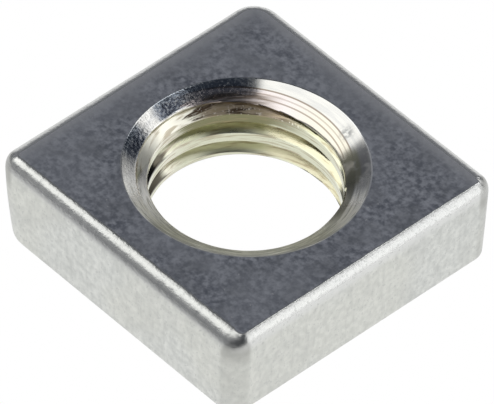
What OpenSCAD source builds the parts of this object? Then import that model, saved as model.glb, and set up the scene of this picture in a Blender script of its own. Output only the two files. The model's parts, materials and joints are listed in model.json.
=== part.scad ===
// Thin square nut: a stamped steel blank with one threaded hole, countersunk on both faces.
// Lengths are in millimetres. The nut lies on its bottom face with the hole along Z.
// The hole is drawn at the thread's minor diameter, where the crests of the thread end.

/* [Blank] */
// Width across the flats
flats_w = 12.8; // [11:0.1:16]
// Thickness between the two bearing faces
thickness = 3.7; // [3:0.1:6.5]
// Radius of the four upright corners
corner_r = 1; // [0.6:0.1:1.8]
// Radius of the rolled edge round the top face
top_edge_r = 0.4; // [0.1:0.05:0.55]
// Radius of the broken edge round the bottom face
bottom_edge_r = 0.1; // [0.05:0.05:0.4]

/* [Thread] */
// Major diameter of the thread
thread_d = 8; // [6:0.1:8.8]
// Pitch of the thread
thread_pitch = 1; // [0.5:0.05:1.25]
// Share of the basic thread depth that is cut, in percent
thread_depth_share = 75; // [65:5:100]

/* [Countersinks] */
// How far the rim of each countersink lies outside the major diameter of the thread
sink_margin = 0.55; // [0.1:0.05:0.9]
// Included angle of the countersinks, in degrees
sink_angle = 110; // [90:5:120]

/* [Hidden] */
// Basic radial depth of a 60 degree internal thread, for a pitch of 1
basic_depth = 5 / 8 * cos(30);
bore_r = thread_d / 2 - basic_depth * thread_pitch * thread_depth_share / 100;
sink_r = thread_d / 2 + sink_margin;
sink_depth = (sink_r - bore_r) / tan(sink_angle / 2);
// Distance from the centre to the axis of each corner, and the length of a flat between two corners
corner_at = flats_w / 2 - corner_r;
flat_l = 2 * corner_at;
// How far the hole's cutter runs past each face
overcut = 1;

$fn = 96;

module quarter_disc(r) {
    intersection() {
        circle(r);
        square(r);
    }
}

// Upright section from the Y axis out to an edge: flat faces, the rolled top edge and the broken bottom edge
module edge_section(reach) {
    translate([0, bottom_edge_r])
        square([reach, thickness - top_edge_r - bottom_edge_r]);
    translate([0, thickness - top_edge_r])
        square([reach - top_edge_r, top_edge_r]);
    translate([reach - top_edge_r, thickness - top_edge_r])
        quarter_disc(top_edge_r);
    square([reach - bottom_edge_r, bottom_edge_r]);
    translate([reach - bottom_edge_r, bottom_edge_r])
        mirror([0, 1])
            quarter_disc(bottom_edge_r);
}

// Slab between two opposite flats, as long along X as a flat is between its corners
module flat_slab() {
    rotate([90, 0, 90])
        linear_extrude(flat_l, center = true) {
            edge_section(flats_w / 2);
            mirror([1, 0])
                edge_section(flats_w / 2);
        }
}

// Square blank: two crossed slabs, with a quarter turn of the same edge at each corner
module blank() {
    flat_slab();
    rotate(90)
        flat_slab();
    for (turn = [0:90:270])
        rotate(turn)
            translate([corner_at, corner_at, 0])
                rotate_extrude(angle = 90)
                    edge_section(corner_r);
}

// Hole with its two countersinks, as one revolved cutter
module threaded_hole() {
    mouth_r = sink_r + overcut * tan(sink_angle / 2);
    rotate_extrude()
        polygon([
            [0, -overcut],
            [mouth_r, -overcut],
            [bore_r, sink_depth],
            [bore_r, thickness - sink_depth],
            [mouth_r, thickness + overcut],
            [0, thickness + overcut],
        ]);
}

module square_nut() {
    color([0.66, 0.67, 0.68])
        difference() {
            blank();
            threaded_hole();
        }
}

square_nut();
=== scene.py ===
"""Looks of a thin square nut: stamped steel, zinc plated, with a right-hand thread, lying on a pale floor."""

import json
import math

import bpy
import numpy as np
from mathutils import Matrix, Vector, noise


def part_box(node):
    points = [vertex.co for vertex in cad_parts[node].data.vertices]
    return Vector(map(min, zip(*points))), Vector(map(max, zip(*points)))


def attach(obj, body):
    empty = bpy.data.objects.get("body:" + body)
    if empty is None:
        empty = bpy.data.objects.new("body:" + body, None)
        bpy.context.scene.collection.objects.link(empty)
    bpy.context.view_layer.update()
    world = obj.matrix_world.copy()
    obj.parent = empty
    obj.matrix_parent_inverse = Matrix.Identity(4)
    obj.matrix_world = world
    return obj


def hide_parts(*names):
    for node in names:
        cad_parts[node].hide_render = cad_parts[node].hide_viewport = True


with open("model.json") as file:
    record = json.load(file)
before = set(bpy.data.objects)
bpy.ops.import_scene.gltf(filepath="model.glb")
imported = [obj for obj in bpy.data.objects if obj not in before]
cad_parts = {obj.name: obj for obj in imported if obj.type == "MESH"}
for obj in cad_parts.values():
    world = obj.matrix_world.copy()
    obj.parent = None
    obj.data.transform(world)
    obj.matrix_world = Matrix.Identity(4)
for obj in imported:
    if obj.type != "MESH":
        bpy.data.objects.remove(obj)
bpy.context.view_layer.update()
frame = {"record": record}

MM = 0.001
TAU = 2 * math.pi

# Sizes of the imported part, in millimetres
low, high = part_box("square_nut")
HALF_WIDTH = (high.x - low.x) / 2 / MM
THICKNESS = (high.z - low.z) / MM
thread_dims = next(m["dims"] for m in frame["record"]["mounts"] if m["name"] == "thread")
CREST_R = thread_dims["r_mm"]
SINK_DEPTH = (THICKNESS - thread_dims["length_mm"]) / 2

# Thread and countersinks, in millimetres: the pitch, the slant of a flank in radians, the major radius, the
# rim of the cones, and the height of a crest's upper edge on the side of the hole farthest from the camera
PITCH = 1.0
FLANK_ANGLE = math.radians(30)
ROOT_R = 4.0
SINK_R = 4.55
SINK_SLOPE = (SINK_R - CREST_R) / SINK_DEPTH
CREST_TOP_AT_BACK = 1.78
# The uppermost groove, counted from the crest named above, is narrow on the right of the far side: by how
# much its upper edge comes down there, and the turns from the far side between which it does, and goes
# back up farther round
TOP_GROOVE = 1
TOP_GROOVE_CLOSING = 0.30
TOP_GROOVE_CLOSES = (0.12, -0.15)
TOP_GROOVE_OPENS = (-0.36, -0.22)
# Rounding of the thread's meeting with the cones, and of the cones' rims
MEETING_SOFTNESS = 0.05
RIM_R = 0.10
# Centre of a bruise on the upper countersink
BRUISE = (0.95, 4.10, 3.45)

# Edges of the stamped blank, in millimetres. Corners go round from +X +Y against the clock, each with
# its radius at the top and at the bottom, and how that changes on the way down.
CORNER_RADII = [(0.58, 0.78, 1.7), (1.10, 1.00, 1.7), (0.68, 1.45, 1.7), (0.74, 0.80, 0.7)]
# A flat follows each corner. Its top edge leaves the face over a lip that ends at an angle from level, in
# degrees, and bends on at a radius given where the flat starts and ends, uneven by a share of it. From one
# angle on, the same for all flats, it bends at a third radius.
TOP_LIP_ANGLES = [12, 12, 20, 42]
TOP_LIP_RADII = [0.50, 0.46, 0.25, 0.10]
TOP_EDGE_RADII = [(0.48, 0.48), (0.44, 0.56), (0.54, 0.78), (0.92, 1.08)]
TOP_ROLL_RADII = [0.50, 0.50, 1.05, 0.50]
TOP_EDGE_WOBBLES = [0.02, 0.02, 0.05, 0.05]
ROLL_FROM = 60
BOTTOM_EDGE_R = 0.08

# Divisions of the mesh
CORNER_STEPS = 14
FLAT_STEPS = 96
LIP_STEPS = 5
FILLET_STEPS = 10
ROLL_STEPS = 5
SIDE_STEPS = 10
FACE_STEPS = 6
RIM_STEPS = 4
THREAD_STEPS = 32
# Turns of thread beyond each end of the hole, before the cones cut them off
SPARE_TURNS = 3
# Edges that bend by more than this, in degrees, are shaded as sharp
SHARP_ANGLE = 40

# Camera, fitted to the photograph: the point it looks at and its distance in millimetres, its angles in
# degrees, its focal length in pixels of the photograph, and the depth that it shows in metres
PHOTO_WIDTH_PX = 494
FOCAL_PX = 9028
AIM = (0.080, 0.023, 1.895)
AZIMUTH = 45.66
ELEVATION = 45.64
ROLL = 2.556
DISTANCE = 328.5
SENSOR_MM = 36.0
CLIP_RANGE_M = (0.01, 20)

# Floor, in millimetres: its size, how far it lies below the bottom face, so that the two don't touch, and
# the distances from the nut between which it dims
FLOOR_SIZE = 6000
FLOOR_DROP = 0.02
FLOOR_DIMMING = (18, 65)

# Directions on the nut: up, and square to its four sides, named as the camera sees them
UPWARD = (0, 0, 1)
TO_NEAR_RIGHT = (1, 0, 0)
TO_NEAR_LEFT = (0, -1, 0)
TO_FAR_RIGHT = (0, 1, 0)
TO_FAR_LEFT = (-1, 0, 0)

# Finish: the faces' roughness, and depths of the fine relief in millimetres
FACE_ROUGHNESS = 0.28
FACE_RELIEF = 0.012
SIDE_RELIEF = 0.006
THREAD_RELIEF = 0.006
# Distances from the axis, in millimetres, between which the sides darken from a flat's colour to a corner's
CORNER_DARKENING = (8.47, 8.60)
# Spiral lines on the countersinks: the radius on the far side in millimetres, and the strength
TOOL_LINES = [(4.25, 0.85), (4.11, 0.4), (3.96, 0.7)]
DARK_BROWN = (0.20, 0.15, 0.11)
# How far streaks push the end of a stain round the hole, in turns
RAGGEDNESS = 0.14
# Round the hole, in turns from the far side, against the clock from above: where the near side's wear
# sets in, on both sides, and where the right part of the thread does
NEAR_SIDE = (0.27, 0.36)
RIGHT_PART = (-0.015, -0.045)
# Heights on the far side, in millimetres, that take in one turn of the thread
ONE_PITCH = (0.4, 0.4 + PITCH)

FACE_ZONE, SIDE_ZONE, HOLE_ZONE = range(3)


def blank_columns():
    """Stations round the outline: on a corner or a flat, which one, and the share of the way along it."""
    stations = []
    for corner in range(4):
        for step in range(CORNER_STEPS):
            stations.append(("corner", corner, step / CORNER_STEPS))
        for step in range(FLAT_STEPS):
            stations.append(("flat", corner, step / FLAT_STEPS))
    return stations


def corner_point(corner, share, radius, inset):
    """A point on the arc of one corner, moved in from the outline by inset."""
    turn = (corner + share) * math.pi / 2
    centre_turn = (corner + 0.5) * math.pi / 2
    reach = (HALF_WIDTH - radius) * math.sqrt(2)
    centre = np.array([math.cos(centre_turn), math.sin(centre_turn)]) * reach
    return centre + np.array([math.cos(turn), math.sin(turn)]) * (radius - inset)


def outline_point(station, height_share, inset):
    """Plan position of a station at a height from 0, the bottom face, to 1, the top face."""
    kind, corner, share = station

    def radius_of(index):
        top, bottom, taper = CORNER_RADII[index % 4]
        return top + (bottom - top) * (1 - height_share) ** taper

    if kind == "corner":
        return corner_point(corner, share, radius_of(corner), inset)
    start = corner_point(corner, 1, radius_of(corner), inset)
    end = corner_point(corner + 1, 0, radius_of(corner + 1), inset)
    return start + (end - start) * share


def top_edge(station):
    """The top edge's lip angle and three radii, eased from one flat to the next, a little uneven."""
    kind, corner, share = station

    def edge_of(flat, end):
        return np.array([TOP_LIP_ANGLES[flat], TOP_LIP_RADII[flat], TOP_EDGE_RADII[flat][end],
                         TOP_ROLL_RADII[flat], TOP_EDGE_WOBBLES[flat]])

    first, last = edge_of(corner, 0), edge_of(corner, 1)
    if kind == "corner":
        first, last = edge_of(corner - 1, 1), edge_of(corner, 0)
        share = smooth_step(share, 0, 1)
    lip_angle, lip, radius, roll, wobble = first + (last - first) * share
    x, y = outline_point(station, 1, 0)
    long_waves = noise.noise(Vector((x * 0.9, y * 0.9, 0.4)))
    short_waves = noise.noise(Vector((x * 4, y * 4, 2.7)))
    uneven = long_waves + 1.2 * short_waves
    return lip_angle, lip, radius * (1 + wobble * uneven), roll


def thread_corners():
    """Shares of the pitch, going up, where the crest ends, the root starts and the root ends."""
    flank = (ROOT_R - CREST_R) * math.tan(FLANK_ANGLE) / PITCH
    root = 1 / 8
    crest = 1 - root - 2 * flank
    return crest, crest + flank, crest + flank + root


def thread_radius(share):
    """Radius of the thread at a share of the pitch."""
    radii = [CREST_R, CREST_R, ROOT_R, ROOT_R, CREST_R]
    return float(np.interp(share, [0, *thread_corners(), 1], radii))


def cone_radius(height):
    """Radius of whichever countersink is wider at a height."""
    return SINK_R - SINK_SLOPE * min(height, THICKNESS - height)


def smooth_step(value, start, end):
    """0 at start, 1 at end, eased between them."""
    share = min(max((value - start) / (end - start), 0), 1)
    return share * share * (3 - 2 * share)


def top_groove_radius(turns, share):
    """How far out the uppermost groove reaches, by the turn from the far side and the share of the pitch."""
    closed = smooth_step(turns, *TOP_GROOVE_CLOSES) * smooth_step(turns, *TOP_GROOVE_OPENS)
    closing = closed * TOP_GROOVE_CLOSING
    depth = max(1 - share - closing / PITCH, 0) * PITCH / math.tan(FLANK_ANGLE)
    return CREST_R + depth


def hole_radius(thread, height):
    """Radius of the hole: the thread's, or a countersink's where that cuts deeper, with a soft meeting."""
    cone = cone_radius(height)
    overlap = max(MEETING_SOFTNESS - abs(thread - cone), 0) / MEETING_SOFTNESS
    return max(thread, cone) + overlap * overlap * MEETING_SOFTNESS / 4


class NutMesh:
    """Collects the vertices and faces of the nut, in millimetres."""

    def __init__(self):
        self.points = []
        self.faces = []
        self.zones = []

    def add(self, x, y, z):
        self.points.append((x, y, z))
        return len(self.points) - 1

    def circle(self, angles, radius, height):
        return [self.add(radius * math.cos(a), radius * math.sin(a), height) for a in angles]

    def face(self, corners, zone):
        ring = [c for i, c in enumerate(corners) if c != corners[i - 1]]
        if len(set(ring)) >= 3:
            self.faces.append(ring)
            self.zones.append(zone)

    def strip(self, ring_a, ring_b, zone):
        """Joins two closed rings of as many vertices."""
        count = len(ring_a)
        for i in range(count):
            j = (i + 1) % count
            self.face([ring_a[i], ring_b[i], ring_b[j], ring_a[j]], zone)

    def strips(self, rings, zone):
        for ring_a, ring_b in zip(rings, rings[1:]):
            self.strip(ring_a, ring_b, zone)


def outside_rings(mesh, stations):
    """Rings from the top face's edge, over its rounding, down the sides and under the bottom edge."""
    profiles = [side_profile(*top_edge(station)) for station in stations]
    rings = []
    for step in range(len(profiles[0])):
        ids = []
        for station, profile in zip(stations, profiles):
            inset, z = profile[step]
            x, y = outline_point(station, z / THICKNESS, inset)
            ids.append(mesh.add(x, y, z))
        rings.append(ids)
    return rings


def side_profile(lip_angle, lip, radius, roll):
    """Points (inset, height) down one side, over a top edge of three arcs."""
    angles = [math.radians(a) for a in (0, lip_angle, ROLL_FROM, 90)]
    arcs = list(zip(angles, angles[1:], (lip, radius, roll), (LIP_STEPS, FILLET_STEPS, ROLL_STEPS)))
    inset = sum(r * (math.sin(end) - math.sin(start)) for start, end, r, _ in arcs)
    height = THICKNESS
    points = []
    for start, end, r, steps in arcs:
        for step in range(steps):
            turn = start + (end - start) * step / steps
            along, down = math.sin(turn) - math.sin(start), math.cos(start) - math.cos(turn)
            points.append((inset - r * along, height - r * down))
        inset -= r * (math.sin(end) - math.sin(start))
        height -= r * (math.cos(start) - math.cos(end))
    for step in range(SIDE_STEPS):
        share = step / SIDE_STEPS
        points.append((0.0, height * (1 - share) + BOTTOM_EDGE_R * share))
    for step in range(FILLET_STEPS // 2 + 1):
        turn = step / (FILLET_STEPS // 2) * math.pi / 2
        points.append((BOTTOM_EDGE_R * (1 - math.cos(turn)), BOTTOM_EDGE_R * (1 - math.sin(turn))))
    return points


def face_rings(mesh, rim, edge, height):
    """Rings across a flat face, from the countersink's rim to the rounded edge."""
    rings = [rim]
    for step in range(1, FACE_STEPS):
        share = step / FACE_STEPS
        ids = []
        for inner, outer in zip(rim, edge):
            a, b = np.array(mesh.points[inner]), np.array(mesh.points[outer])
            ids.append(mesh.add(*(a + (b - a) * share)[:2], height))
        rings.append(ids)
    return rings + [edge]


def rim_rings(mesh, angles, height, inward):
    """Rings over the rounded rim of a countersink, from the flat face to the cone."""
    cone_turn = math.atan2(1, SINK_SLOPE)
    rings = []
    start = SINK_R + RIM_R * math.tan(cone_turn / 2)
    for step in range(RIM_STEPS + 1):
        turn = cone_turn * step / RIM_STEPS
        drop = RIM_R * (1 - math.cos(turn))
        rings.append(mesh.circle(angles, start - RIM_R * math.sin(turn), height + inward * drop))
    return rings


def nut_mesh():
    """The whole nut: sides with their edges, both faces, both rims and the threaded hole."""
    mesh = NutMesh()
    stations = blank_columns()
    outline = [outline_point(s, 1, 0) for s in stations]
    angles = np.unwrap([math.atan2(p[1], p[0]) for p in outline])
    outside = outside_rings(mesh, stations)
    top_rim = rim_rings(mesh, angles, THICKNESS, -1)
    bottom_rim = rim_rings(mesh, angles, 0.0, 1)
    mesh.strips(outside, SIDE_ZONE)
    mesh.strips(face_rings(mesh, top_rim[0], outside[0], THICKNESS), FACE_ZONE)
    mesh.strips(face_rings(mesh, bottom_rim[0], outside[-1], 0.0)[::-1], FACE_ZONE)
    mesh.strips(top_rim[::-1], HOLE_ZONE)
    mesh.strips(bottom_rim, HOLE_ZONE)
    add_hole(mesh, angles, bottom_rim[-1], top_rim[-1])
    return mesh


def add_hole(mesh, angles, bottom_rim, top_rim):
    """The threaded wall: rows that climb one pitch a turn, cut off by the rims of the two cones."""
    shares = sorted({step / THREAD_STEPS for step in range(THREAD_STEPS)} | set(thread_corners()))
    profile = [thread_radius(share) for share in shares]
    back_angle = math.radians(90 + AZIMUTH)
    crest_top_share = thread_corners()[0]
    turns = range(-SPARE_TURNS, math.ceil(THICKNESS / PITCH) + SPARE_TURNS)
    floor_height, ceiling_height = (mesh.points[rim[0]][2] for rim in (bottom_rim, top_rim))

    def column(angle, rim_low, rim_high):
        climb = PITCH * (angle - back_angle) / TAU
        base = CREST_TOP_AT_BACK - crest_top_share * PITCH + climb
        ids = []
        for turn in turns:
            for share, thread in zip(shares, profile):
                height = base + (turn + share) * PITCH
                if turn == TOP_GROOVE:
                    thread = min(thread, top_groove_radius(climb / PITCH, share))
                if height <= floor_height:
                    ids.append(rim_low)
                elif height >= ceiling_height:
                    ids.append(rim_high)
                else:
                    radius = hole_radius(thread, height)
                    ids.append(mesh.add(radius * math.cos(angle), radius * math.sin(angle), height))
        return ids

    columns = [column(a, b, t) for a, b, t in zip(angles, bottom_rim, top_rim)]
    for i, left in enumerate(columns):
        right = columns[(i + 1) % len(columns)]
        # The last column meets the first one a whole turn, and so one pitch, lower
        shift = len(shares) if i + 1 == len(columns) else 0
        for row in range(len(left) - 1 - shift):
            ring = [left[row], left[row + 1], right[row + 1 + shift], right[row + shift]]
            mesh.face(ring, HOLE_ZONE)


def make_nut(materials):
    """The nut as an object, with one material for each zone."""
    data = nut_mesh()
    mesh = bpy.data.meshes.new("square_nut_plated")
    mesh.from_pydata([tuple(c * MM for c in p) for p in data.points], [], data.faces)
    for material in materials:
        mesh.materials.append(material)
    for polygon, zone in zip(mesh.polygons, data.zones):
        polygon.material_index = zone
        polygon.use_smooth = True
    mesh.set_sharp_from_angle(angle=math.radians(SHARP_ANGLE))
    mesh.update()
    nut = bpy.data.objects.new("square_nut_plated", mesh)
    bpy.context.scene.collection.objects.link(nut)
    return nut


class Graph:
    """Shorthand for a node tree: most methods add a node and give back its output."""

    def __init__(self, tree):
        self.nodes = tree.nodes
        self.links = tree.links

    def put(self, socket, value):
        """Links an output to a socket, or sets the socket to a plain value."""
        if isinstance(value, bpy.types.NodeSocket):
            self.links.new(value, socket)
        else:
            socket.default_value = value

    def math(self, operation, *values):
        node = self.nodes.new("ShaderNodeMath")
        node.operation = operation
        for socket, value in zip(node.inputs, values):
            self.put(socket, value)
        return node.outputs["Value"]

    def product(self, *values):
        result = values[0]
        for value in values[1:]:
            result = self.math("MULTIPLY", result, value)
        return result

    def vector_math(self, operation, first, second):
        node = self.nodes.new("ShaderNodeVectorMath")
        node.operation = operation
        self.put(node.inputs[0], first)
        self.put(node.inputs[1], second)
        return node

    def dot(self, vector, axis):
        return self.vector_math("DOT_PRODUCT", vector, axis).outputs["Value"]

    def stretched(self, vector, factors):
        return self.vector_math("MULTIPLY", vector, factors).outputs["Vector"]

    def ramp(self, value, start, end):
        """0 at start, 1 at end, eased between them."""
        node = self.nodes.new("ShaderNodeMapRange")
        node.interpolation_type = "SMOOTHSTEP"
        node.inputs["From Min"].default_value = min(start, end)
        node.inputs["From Max"].default_value = max(start, end)
        node.inputs["To Min"].default_value = 0 if start < end else 1
        node.inputs["To Max"].default_value = 1 if start < end else 0
        self.put(node.inputs["Value"], value)
        return node.outputs["Result"]

    def noise(self, vector, scale, detail):
        node = self.nodes.new("ShaderNodeTexNoise")
        node.inputs["Scale"].default_value = scale
        node.inputs["Detail"].default_value = detail
        self.put(node.inputs["Vector"], vector)
        return node.outputs["Fac"]

    def mix(self, factor, first, second):
        """A blend of two colours, each given as three numbers or as an output."""
        node = self.nodes.new("ShaderNodeMix")
        node.data_type = "RGBA"
        colours = [i for i in node.inputs if i.type == "RGBA"]
        self.put(node.inputs["Factor"], factor)
        for socket, colour in zip(colours, (first, second)):
            self.put(socket, (*colour, 1) if isinstance(colour, tuple) else colour)
        return next(o for o in node.outputs if o.type == "RGBA")

    def tinted(self, colour, tint, strength, *masks):
        """A colour blended towards a tint, as far as a strength and some masks let it."""
        return self.mix(self.product(*masks, strength), colour, tint)

    def window(self, value, rise, fall):
        """1 inside a window. Each of its two sides is given by where it is 0 and where it is 1."""
        return self.product(self.ramp(value, *rise), self.ramp(value, *fall))

    def blend(self, factor, first, second):
        """A blend of two numbers, each given as an output."""
        return self.math("MULTIPLY_ADD", factor, self.math("SUBTRACT", second, first), first)

    def bump(self, height, depth_mm):
        node = self.nodes.new("ShaderNodeBump")
        node.inputs["Strength"].default_value = 1.0
        node.inputs["Distance"].default_value = depth_mm * MM
        self.put(node.inputs["Height"], height)
        return node.outputs["Normal"]

    def combine(self, x, y, z):
        node = self.nodes.new("ShaderNodeCombineXYZ")
        for socket, value in zip(node.inputs, (x, y, z)):
            self.put(socket, value)
        return node.outputs["Vector"]

    def place(self):
        """Position on the nut, in millimetres."""
        coordinates = self.nodes.new("ShaderNodeTexCoord")
        return self.stretched(coordinates.outputs["Object"], (1 / MM, 1 / MM, 1 / MM))

    def polar(self, place):
        """Distance from the hole's axis, turns from the side farthest from the camera, and height."""
        azimuth = math.radians(AZIMUTH)
        far = self.dot(place, (-math.sin(azimuth), math.cos(azimuth), 0))
        left = self.dot(place, (-math.cos(azimuth), -math.sin(azimuth), 0))
        distance = self.math("SQRT", self.math("ADD", self.product(far, far), self.product(left, left)))
        turns = self.math("DIVIDE", self.math("ARCTAN2", left, far), TAU)
        return distance, turns, self.dot(place, UPWARD)


def metal(name, finish):
    """A plated metal whose finish function fills in its colour, roughness and relief."""
    material = bpy.data.materials.new(name)
    material.use_nodes = True
    graph = Graph(material.node_tree)
    shader = graph.nodes["Principled BSDF"]
    shader.inputs["Metallic"].default_value = 1.0
    colour, roughness, normal = finish(graph)
    graph.put(shader.inputs["Base Color"], colour)
    graph.put(shader.inputs["Roughness"], roughness)
    graph.put(shader.inputs["Normal"], normal)
    return material


def far_edges(graph, place):
    """How far out a place lies towards the nearer of the two sides that face away from the camera."""
    return graph.math("MAXIMUM", graph.dot(place, TO_FAR_LEFT), graph.dot(place, TO_FAR_RIGHT))


def face_finish(graph):
    """The flat faces: grey, finely pitted, cloudy, paler along the far edges by a painted reflection, with a
    few bright flecks.
    """
    place = graph.place()
    grain = graph.noise(place, 5, 4)
    cloud = graph.noise(place, 0.9, 3)
    haze = graph.noise(place, 0.33, 2)
    fleck = graph.noise(place, 4.5, 1)
    edges = far_edges(graph, place)
    # Painted reflection: the faces turn paler towards the two edges farthest from the camera
    painted_far_border = graph.ramp(edges, HALF_WIDTH - 1.6, HALF_WIDTH - 0.4)
    painted_far_brim = graph.ramp(edges, HALF_WIDTH - 0.95, HALF_WIDTH - 0.5)
    colour = graph.mix(graph.ramp(grain, 0.27, 0.75), (0.34, 0.36, 0.41), (0.90, 0.92, 0.97))
    colour = graph.tinted(colour, (0.42, 0.435, 0.46), 0.45, graph.ramp(cloud, 0.42, 0.66))
    colour = graph.tinted(colour, (0.76, 0.78, 0.82), 0.35, graph.ramp(haze, 0.44, 0.62))
    colour = graph.tinted(colour, (0.84, 0.85, 0.87), 0.55, painted_far_border)
    colour = graph.tinted(colour, (0.98, 0.98, 0.98), 0.7, painted_far_brim)
    colour = graph.mix(graph.ramp(fleck, 0.76, 0.80), colour, (0.95, 0.95, 0.95))
    return colour, FACE_ROUGHNESS, graph.bump(grain, FACE_RELIEF)


def edge_colour(graph, colour, place, height, burnish, corner):
    """The sides' colour: burnished top edges, paler on the far ones by a painted reflection, a painted
    highlight under the near right edge, painted shade under the near left one and high on the corners.
    """
    # Painted reflection: the top of the far edges is paler, while the near edges get the burnished colour
    far = graph.product(graph.ramp(far_edges(graph, place), HALF_WIDTH - 1.1, HALF_WIDTH - 0.7),
                        graph.ramp(height, THICKNESS - 0.10, THICKNESS - 0.01))
    burnish_and_painted_sheen = graph.mix(far, (0.60, 0.605, 0.60), (0.84, 0.84, 0.84))
    colour = graph.tinted(colour, burnish_and_painted_sheen, 0.7, burnish)
    # Painted highlight: a pale band on the near right side just under its top edge
    right_side = graph.ramp(graph.dot(place, TO_NEAR_RIGHT), HALF_WIDTH - 0.5, HALF_WIDTH - 0.1)
    painted_highlight_under_right = graph.window(height, (THICKNESS - 0.80, THICKNESS - 0.40),
                               (THICKNESS - 0.24, THICKNESS - 0.36))
    colour = graph.tinted(colour, (0.80, 0.805, 0.79), 0.45, right_side, painted_highlight_under_right)
    # Painted shade: a dark band on the near left side just under its top edge
    left_side = graph.ramp(graph.dot(place, TO_NEAR_LEFT), HALF_WIDTH - 0.5, HALF_WIDTH - 0.1)
    painted_shade_under_left = graph.window(height, (THICKNESS - 0.56, THICKNESS - 0.42),
                              (THICKNESS - 0.22, THICKNESS - 0.30))
    colour = graph.tinted(colour, (0.33, 0.335, 0.34), 0.45, left_side, painted_shade_under_left)
    # Painted shade high up on the corners
    corner_shade_height = graph.ramp(height, THICKNESS - 1.5, THICKNESS - 0.7)
    return graph.tinted(colour, (0.32, 0.32, 0.30), 0.5, corner, corner_shade_height)


def side_finish(graph):
    """The sheared sides: pale and grainy, darker at the corners, with faint marks from top to bottom,
    burnished edges, and painted highlights and shade along the top edges.
    """
    place = graph.place()
    height = graph.dot(place, UPWARD)
    burnish = graph.ramp(height, THICKNESS - 0.75, THICKNESS - 0.3)
    distance = graph.vector_math("LENGTH", graph.stretched(place, (1, 1, 0)), (0, 0, 0)).outputs["Value"]
    corner = graph.ramp(distance, *CORNER_DARKENING)
    grit = graph.noise(place, 9, 2)
    mottle = graph.noise(place, 0.9, 3)
    warmth = graph.noise(place, 0.25, 1)
    grain = graph.noise(place, 4.5, 3)
    marks = graph.noise(graph.stretched(place, (5, 5, 0.8)), 1, 3)
    colour = graph.mix(graph.ramp(grain, 0.2, 0.8), (0.55, 0.565, 0.545), (0.745, 0.755, 0.725))
    colour = graph.tinted(colour, (0.67, 0.67, 0.60), 0.3, graph.ramp(warmth, 0.4, 0.6))
    colour = graph.tinted(colour, (0.51, 0.52, 0.50), 0.3, graph.ramp(mottle, 0.45, 0.7))
    colour = graph.tinted(colour, (0.48, 0.49, 0.47), 0.35, graph.ramp(marks, 0.5, 0.75))
    colour = graph.tinted(colour, (0.43, 0.435, 0.41), 0.3, corner)
    # Painted reflection, highlight and shade along the top edges and high on the corners
    colour = edge_colour(graph, colour, place, height, burnish, corner)
    colour = graph.tinted(colour, (0.42, 0.43, 0.42), 0.5, graph.ramp(grit, 0.55, 0.72))
    # The burnished edges are smoother, less so at the corner nearest to the camera
    near_corner = graph.math("MINIMUM", graph.dot(place, TO_NEAR_RIGHT), graph.dot(place, TO_NEAR_LEFT))
    blunted = graph.product(burnish, graph.ramp(near_corner, HALF_WIDTH - 1.0, HALF_WIDTH - 0.65))
    roughness = graph.math("MULTIPLY_ADD", burnish, -0.13, 0.4)
    roughness = graph.math("MULTIPLY_ADD", blunted, 0.07, roughness)
    marks_depth = graph.math("MULTIPLY_ADD", burnish, -1.9, 2.0)
    relief = graph.math("MULTIPLY_ADD", grit, 1.1, graph.math("MULTIPLY_ADD", marks, marks_depth, grain))
    return colour, roughness, graph.bump(relief, SIDE_RELIEF)


def blue_stains(graph, colour, distance, turns, patches, scuffs):
    """Two stretches on the left of a countersink, stained blue."""
    stain_end = graph.math("MULTIPLY_ADD", patches, 0.03, turns)
    not_low = graph.math("MAXIMUM", graph.ramp(distance, 4.10, 4.20), graph.ramp(turns, 0.065, 0.095))
    far_stain = graph.product(graph.window(stain_end, (0.0, 0.03), (0.165, 0.150)), not_low)
    left_stain = graph.window(stain_end, (0.19, 0.205), (0.265, 0.235))
    blue = graph.math("MAXIMUM", far_stain, left_stain)
    blue_stain = graph.mix(graph.ramp(distance, 4.30, 4.45), (0.17, 0.20, 0.26), (0.29, 0.335, 0.40))
    return graph.tinted(colour, blue_stain, 0.9, blue, graph.ramp(scuffs, 0.85, 0.5))


def tool_lines(graph, colour, distance, turns):
    """Spiral lines left by the tool; inside the outermost the plating is creamy, pinkish on the far side."""
    spiral = graph.math("MULTIPLY_ADD", turns, -1.2, distance)
    inner = graph.product(graph.ramp(spiral, 4.27, 4.20), graph.ramp(turns, 0.11, 0.06))
    pink = graph.window(turns, (-0.13, -0.04), (0.12, 0.06))
    cream = graph.mix(pink, (0.72, 0.68, 0.57), (0.70, 0.64, 0.64))
    colour = graph.tinted(colour, cream, 0.8, inner)
    for line_r, strength in TOOL_LINES:
        offset = graph.math("ABSOLUTE", graph.math("SUBTRACT", spiral, line_r))
        line = graph.product(graph.ramp(offset, 0.035, 0.01),
                             graph.window(turns, (0.12, 0.0), (-0.22, -0.18)))
        colour = graph.tinted(colour, DARK_BROWN, strength, line)
    return colour


def right_end_stains(graph, colour, place, distance, patches, right_end):
    """Dark patches on the right end of a countersink, and a bruise above them."""
    dark_stain = graph.mix(graph.ramp(distance, 4.25, 4.10), (0.24, 0.245, 0.255), (0.22, 0.22, 0.16))
    colour = graph.tinted(colour, dark_stain, 0.85, right_end, graph.ramp(patches, 0.30, 0.55))
    bruise = graph.ramp(graph.vector_math("DISTANCE", place, BRUISE).outputs["Value"], 0.45, 0.05)
    bruise = graph.product(bruise, graph.ramp(graph.noise(place, 6, 3), 0.28, 0.62))
    return graph.tinted(colour, (0.22, 0.225, 0.225), 0.9, bruise)


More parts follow.
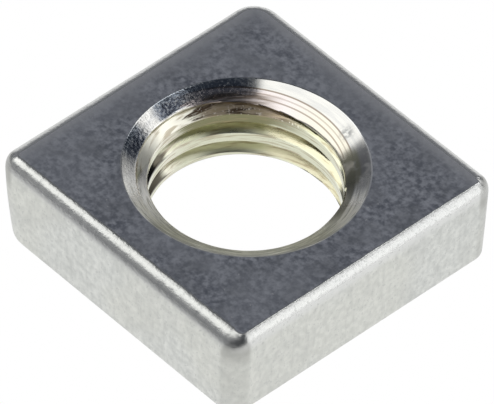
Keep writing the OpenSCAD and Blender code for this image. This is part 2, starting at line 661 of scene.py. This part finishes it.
def near_side_reflection_and_wear(graph, colour, distance, side, patches, ringed):
    """The near side of a countersink: olive and darker at the rim by a painted reflection, streaky, with a
    pale stretch at each end.
    """
    # Painted reflection: the near side turns olive, darker towards the rim, as if it mirrored the thread wall
    painted_near_lip = graph.mix(graph.ramp(distance, 4.15, 4.5), (0.61, 0.61, 0.52), (0.45, 0.455, 0.43))
    painted_near_lip = graph.tinted(painted_near_lip, (0.38, 0.385, 0.33), 0.35, graph.ramp(patches, 0.40, 0.60))
    colour = graph.mix(graph.ramp(side, *NEAR_SIDE), colour, painted_near_lip)
    pale = graph.window(side, (0.26, 0.30), (0.39, 0.34))
    colour = graph.tinted(colour, (0.88, 0.885, 0.85), 0.75, pale)
    lines = graph.noise(ringed, 1.7, 3)
    near_half = graph.ramp(side, 0.25, 0.30)
    colour = graph.tinted(colour, (0.97, 0.97, 0.88), 0.7, near_half, graph.ramp(lines, 0.52, 0.66))
    return graph.tinted(colour, (0.30, 0.305, 0.25), 0.6, near_half, graph.ramp(lines, 0.47, 0.36))


def right_side_tones(graph, colour, distance, turns):
    """The right side of a countersink: dark low down, and a painted highlight along the rim, strongest on the
    right.
    """
    low_right = graph.product(graph.ramp(distance, 4.02, 3.92),
                              graph.window(turns, (-0.22, -0.26), (-0.37, -0.31)))
    colour = graph.tinted(colour, (0.16, 0.165, 0.13), 0.8, low_right)
    # Painted highlight along the rim, at full strength on the right and faint elsewhere
    rim_highlight_stretch = graph.window(turns, (-0.32, -0.26), (-0.13, -0.18))
    rim_highlight_strength = graph.math("MULTIPLY_ADD", rim_highlight_stretch, 0.7, 0.3)
    rim = graph.product(graph.ramp(distance, SINK_R - 0.05, SINK_R), rim_highlight_strength)
    return graph.mix(rim, colour, (0.92, 0.93, 0.94))


def sink_coat(graph, place, distance, turns):
    """Colour, roughness and relief of the countersinks: turned in rings, stained, scuffed and bruised, with a
    painted reflection on the near side and a painted highlight along the rim.
    """
    ringed = graph.vector_math("ADD", graph.stretched(place, (0.7, 0.7, 0)),
                               graph.combine(0, 0, graph.product(distance, 10))).outputs["Vector"]
    rings = graph.noise(ringed, 1, 2)
    scuffs = graph.noise(place, 10, 2)
    patches = graph.noise(place, 1.8, 3)
    streaks = graph.noise(graph.stretched(place, (0.8, 0.8, 16)), 1, 3)
    side = graph.math("ABSOLUTE", turns)
    right_end = graph.window(turns, (-0.183, -0.205), (-0.28, -0.25))
    colour = graph.mix(graph.ramp(rings, 0.35, 0.65), (0.575, 0.575, 0.565), (0.65, 0.645, 0.62))
    colour = blue_stains(graph, colour, distance, turns, patches, scuffs)
    colour = tool_lines(graph, colour, distance, turns)
    # Low on the cone, lines of brown on the far side and a pale dull edge on the left
    ragged = graph.math("MULTIPLY_ADD", streaks, RAGGEDNESS, turns)
    browned = graph.product(graph.ramp(distance, 4.17, 4.10), graph.ramp(turns, -0.06, 0.0),
                            graph.ramp(ragged, 0.165, 0.145))
    brown = graph.mix(graph.ramp(streaks, 0.40, 0.60), (0.70, 0.62, 0.60), DARK_BROWN)
    colour = graph.tinted(colour, brown, 0.85, browned)
    lower_edge = graph.product(graph.ramp(distance, 4.05, 3.98), graph.ramp(turns, -0.05, -0.01))
    worn = graph.product(lower_edge, graph.ramp(ragged, 0.145, 0.165))
    colour = graph.mix(worn, colour, (0.95, 0.93, 0.87))
    colour = right_end_stains(graph, colour, place, distance, patches, right_end)
    colour = near_side_reflection_and_wear(graph, colour, distance, side, patches, ringed)
    colour = right_side_tones(graph, colour, distance, turns)
    # Dull on the near side, and somewhat where the cone is stained, worn or scuffed
    scuffed = graph.product(graph.ramp(turns, -0.02, 0.03), graph.ramp(scuffs, 0.35, 0.70))
    dull = graph.math("MAXIMUM", graph.ramp(side, *NEAR_SIDE),
                      graph.product(graph.math("MAXIMUM", right_end, lower_edge), 0.4))
    dull = graph.math("MAXIMUM", dull, graph.product(scuffed, 0.4))
    roughness = graph.math("MULTIPLY_ADD", dull, 0.34, 0.14)
    relief = graph.math("MULTIPLY_ADD", rings, 0.0024, graph.product(scuffed, 0.0016))
    flattened = graph.math("MAXIMUM", graph.math("SUBTRACT", 4.08, distance), 0)
    return colour, roughness, graph.math("MULTIPLY_ADD", graph.product(flattened, worn), 0.09, relief)


def plain_thread(graph, place, distance, turns, climb, low_down):
    """The thread's colour: yellowish and patchy, paler low down, with a painted highlight on the flanks on
    the right.
    """
    patches = graph.noise(place, 1.1, 2)
    colour = graph.mix(graph.ramp(patches, 0.38, 0.62), (0.72, 0.72, 0.53), (0.60, 0.605, 0.41))
    colour = graph.tinted(colour, (0.70, 0.70, 0.54), 0.8, low_down)
    # Painted highlight: on the right part of the thread one band of each pitch turns pale cream
    in_pitch = graph.math("WRAP", climb, *ONE_PITCH)
    flank_highlight = graph.mix(graph.ramp(in_pitch, 0.98, 1.10), (0.70, 0.665, 0.48), (0.98, 0.97, 0.90))
    flank_highlight_mask = graph.product(graph.ramp(turns, *RIGHT_PART), graph.ramp(turns, -0.40, -0.28),
                            graph.ramp(climb, 2.75, 2.65))
    colour = graph.tinted(colour, flank_highlight, 0.9, flank_highlight_mask)
    crest = graph.ramp(distance, CREST_R + 0.06, CREST_R + 0.01)
    return graph.mix(crest, colour, (0.68, 0.69, 0.54))


def groove_stain(graph, place, turns, streaks):
    """The brown of the uppermost groove, in lines, with bright specks."""
    lines = graph.ramp(streaks, 0.44, 0.57)
    dark_stain = graph.mix(lines, (0.18, 0.14, 0.10), (0.48, 0.40, 0.31))
    pale_stain = graph.mix(lines, (0.10, 0.07, 0.05), (0.56, 0.47, 0.36))
    stain = graph.mix(graph.ramp(turns, -0.04, 0.0), dark_stain, pale_stain)
    specks = graph.ramp(graph.noise(place, 11, 1), 0.60, 0.70)
    return graph.tinted(stain, (0.85, 0.80, 0.72), 0.8, specks)


def painted_groove_shade(graph, turns, climb, streaks):
    """Painted shade in the lower grooves, as the far wall turns to the left."""
    turned = graph.ramp(graph.math("MULTIPLY_ADD", streaks, 0.03, turns), 0.158, 0.178)
    turned = graph.product(turned, graph.ramp(turns, 0.32, 0.24), graph.ramp(climb, 2.3, 2.2))
    in_pitch = graph.math("WRAP", climb, *ONE_PITCH)
    return graph.product(turned, graph.ramp(in_pitch, 0.64, 0.76), graph.ramp(in_pitch, 1.2, 1.08))


def thread_coat(graph, place, distance, turns, height):
    """Colour, roughness and relief of the thread: yellowish, olive and brown near the top on the far side,
    the olive partly painted shade, with a painted highlight on the right and painted shade in lower grooves.
    """
    climb = graph.math("SUBTRACT", height, graph.product(turns, PITCH))
    streaks = graph.noise(graph.stretched(place, (0.8, 0.8, 14)), 1, 3)
    low_down = graph.product(graph.ramp(climb, 1.35, 1.20),
                             graph.ramp(graph.math("ABSOLUTE", turns), 0.42, 0.30))
    colour = plain_thread(graph, place, distance, turns, climb, low_down)
    # The uppermost crest is dark olive, partly its tint and partly painted shade, and the groove above it
    # brown, both only on the far side
    top = graph.ramp(climb, 2.72, 2.80)
    ragged = graph.math("MULTIPLY_ADD", streaks, RAGGEDNESS, turns)
    left = graph.blend(top, graph.ramp(ragged, 0.16, 0.25), graph.ramp(ragged, 0.145, 0.165))
    not_left = graph.math("SUBTRACT", 1, left)
    far_side = graph.product(graph.ramp(turns, -0.12, -0.02), not_left)
    lowered = graph.math("MULTIPLY_ADD", graph.ramp(turns, *RIGHT_PART), -0.15, climb)
    upper_tint_and_shade = graph.product(graph.ramp(lowered, 2.2, 2.35), far_side)
    colour = graph.mix(upper_tint_and_shade, colour, (0.22, 0.215, 0.12))
    groove = graph.product(top, graph.ramp(turns, -0.12, -0.04), not_left)
    colour = graph.tinted(colour, groove_stain(graph, place, turns, streaks), 0.95, groove)
    # Left of it the plating is rubbed pale and dull, as far as where the wall turns to the side
    end = graph.math("MULTIPLY_ADD", graph.ramp(climb, 2.6, 2.7), -0.09, turns)
    rubbed = graph.product(left, graph.ramp(end, 0.175, 0.145))
    colour = graph.tinted(colour, (0.96, 0.94, 0.84), 0.85, rubbed)
    colour = graph.tinted(colour, (0.36, 0.29, 0.18), 0.65, graph.ramp(streaks, 0.51, 0.64))
    # Painted shade: the lower grooves on the left turn near black
    colour = graph.tinted(colour, (0.07, 0.06, 0.05), 0.92, painted_groove_shade(graph, turns, climb, streaks))
    dull = graph.math("MULTIPLY_ADD", far_side, 0.2, graph.product(rubbed, 0.22))
    dull = graph.math("MULTIPLY_ADD", graph.product(groove, graph.ramp(turns, -0.04, 0.0)), 0.2, dull)
    dull = graph.math("MAXIMUM", dull, graph.product(low_down, 0.22))
    roughness = graph.math("ADD", dull, graph.math("MULTIPLY_ADD", streaks, 0.12, 0.03))
    return colour, roughness, graph.product(streaks, THREAD_RELIEF)


def hole_finish(graph):
    """The hole: the countersinks' coat where the wall lies on a cone, the thread's everywhere else."""
    place = graph.place()
    distance, turns, height = graph.polar(place)
    from_end = graph.math("MINIMUM", height, graph.math("SUBTRACT", THICKNESS, height))
    cone = graph.math("MULTIPLY_ADD", from_end, -SINK_SLOPE, SINK_R)
    on_cone = graph.ramp(graph.math("SUBTRACT", distance, cone), 0.05, 0.02)
    thread = thread_coat(graph, place, distance, turns, height)
    sink = sink_coat(graph, place, distance, turns)
    colour = graph.mix(on_cone, thread[0], sink[0])
    roughness = graph.blend(on_cone, thread[1], sink[1])
    return colour, roughness, graph.bump(graph.blend(on_cone, thread[2], sink[2]), 1)


def make_floor():
    """A pale floor that glows evenly to the camera and, to the nut, dims far off to its left and nearby."""
    bpy.ops.mesh.primitive_plane_add(size=FLOOR_SIZE * MM)
    floor = bpy.context.object
    floor.name = "floor"
    floor.location.z = -FLOOR_DROP * MM
    material = bpy.data.materials.new("pale_floor")
    material.use_nodes = True
    graph = Graph(material.node_tree)
    graph.nodes.clear()
    output = graph.nodes.new("ShaderNodeOutputMaterial")
    glow = graph.nodes.new("ShaderNodeEmission")
    dim_side = math.radians(AZIMUTH - 45)
    reach = graph.dot(graph.place(), (math.sin(dim_side), -math.cos(dim_side), 0))
    dimming = graph.ramp(reach, *FLOOR_DIMMING)
    camera_ray = graph.nodes.new("ShaderNodeLightPath").outputs["Is Camera Ray"]
    shade = graph.mix(dimming, (1, 1, 1), (0.22, 0.225, 0.24))
    graph.put(glow.inputs["Color"], graph.mix(camera_ray, shade, (1, 1, 1)))
    graph.links.new(glow.outputs[0], output.inputs["Surface"])
    floor.data.materials.append(material)


def make_camera():
    """A long lens that sees the nut as the photograph does."""
    data = bpy.data.cameras.new("camera")
    data.sensor_fit = "HORIZONTAL"
    data.sensor_width = SENSOR_MM
    data.lens = FOCAL_PX / PHOTO_WIDTH_PX * SENSOR_MM
    data.clip_start, data.clip_end = CLIP_RANGE_M
    az, el, roll = (math.radians(a) for a in (AZIMUTH, ELEVATION, ROLL))
    back = Vector((math.sin(az) * math.cos(el), -math.cos(az) * math.cos(el), math.sin(el)))
    right = Vector((math.cos(az), math.sin(az), 0))
    up = back.cross(right)
    turned_right = right * math.cos(roll) + up * math.sin(roll)
    turned_up = up * math.cos(roll) - right * math.sin(roll)
    camera = bpy.data.objects.new("camera", data)
    pose = Matrix((turned_right, turned_up, back)).transposed().to_4x4()
    pose.translation = (Vector(AIM) + back * DISTANCE) * MM
    camera.matrix_world = pose
    bpy.context.scene.collection.objects.link(camera)
    bpy.context.scene.camera = camera


def room_light(graph, right, near, height):
    """A dim room, lighter on the left and behind the nut, and lightest there at floor level."""
    behind = graph.product(graph.ramp(near, -0.15, -0.55), graph.ramp(right, 0.6, 0.35))
    light = graph.mix(behind, (0.035, 0.041, 0.053), (0.17, 0.176, 0.192))
    light = graph.mix(graph.ramp(right, -0.3, -0.6), light, (0.17, 0.175, 0.19))
    far_left = graph.product(graph.ramp(right, -0.80, -0.92), graph.ramp(height, 0.50, 0.40))
    light = graph.mix(far_left, light, (0.38, 0.385, 0.395))
    horizon = graph.product(graph.ramp(height, 0.38, 0.15), graph.ramp(near, -0.3, -0.7),
                            graph.ramp(right, -0.65, -0.3))
    return graph.mix(horizon, light, (0.75, 0.75, 0.75))


def softbox_light(graph, light, right, near, height):
    """A large softbox overhead on the left, ending above the camera, cut back farther off, lifted nearby."""
    edge = graph.math("MULTIPLY_ADD", graph.ramp(near, 0.16, 0.06), 0.34, right)
    lifted = graph.math("MULTIPLY_ADD", graph.ramp(near, 0.09, 0.23), -0.26, height)
    softbox = graph.product(graph.ramp(edge, -0.05, -0.125), graph.ramp(lifted, 0.42, 0.52),
                            graph.ramp(near, -0.45, -0.35))
    return graph.mix(softbox, light, (1.55, 1.55, 1.52))


def card_light(graph, light, right, near, height):
    """A card standing on the right, set back nearby, one that leans over it, and a dim gap between them."""
    card_edge = graph.math("MULTIPLY_ADD", graph.ramp(near, 0.16, 0.26), -0.15, right)
    card = graph.product(graph.ramp(card_edge, 0.55, 0.68), graph.ramp(near, -0.33, -0.23),
                         graph.ramp(height, 0.66, 0.60))
    fold = graph.product(graph.ramp(near, 0.14, 0.09), graph.ramp(height, 0.765, 0.80))
    leaning = graph.product(graph.math("MAXIMUM", graph.ramp(near, -0.08, -0.14), fold),
                            graph.ramp(near, -0.55, -0.45), graph.ramp(right, 0.40, 0.47),
                            graph.window(height, (0.92, 0.88), (0.55, 0.60)))
    light = graph.mix(graph.math("MAXIMUM", card, leaning), light, (1.65, 1.65, 1.65))
    gap = graph.product(graph.window(near, (0.10, 0.05), (-0.14, -0.08)), graph.ramp(right, 0.55, 0.68),
                        graph.ramp(height, 0.64, 0.56))
    return graph.mix(gap, light, (0.40, 0.40, 0.41))


def make_world():
    """Studio light by the direction that it comes from, laid out as seen from the camera."""
    world = bpy.data.worlds.new("studio")
    world.use_nodes = True
    graph = Graph(world.node_tree)
    direction = graph.nodes.new("ShaderNodeTexCoord").outputs["Generated"]
    azimuth = math.radians(AZIMUTH)
    right = graph.dot(direction, (math.cos(azimuth), math.sin(azimuth), 0))
    near = graph.dot(direction, (math.sin(azimuth), -math.cos(azimuth), 0))
    height = graph.dot(direction, UPWARD)
    light = room_light(graph, right, near, height)
    light = softbox_light(graph, light, right, near, height)
    light = card_light(graph, light, right, near, height)
    camera_ray = graph.nodes.new("ShaderNodeLightPath").outputs["Is Camera Ray"]
    graph.put(graph.nodes["Background"].inputs["Color"], graph.mix(camera_ray, light, (1, 1, 1)))
    bpy.context.scene.world = world


nut = make_nut([
    metal("zinc_face", face_finish),
    metal("zinc_side", side_finish),
    metal("zinc_hole", hole_finish),
])
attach(nut, "root")
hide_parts("square_nut")
make_floor()
make_camera()
make_world()
bpy.context.scene.view_settings.view_transform = "Standard"
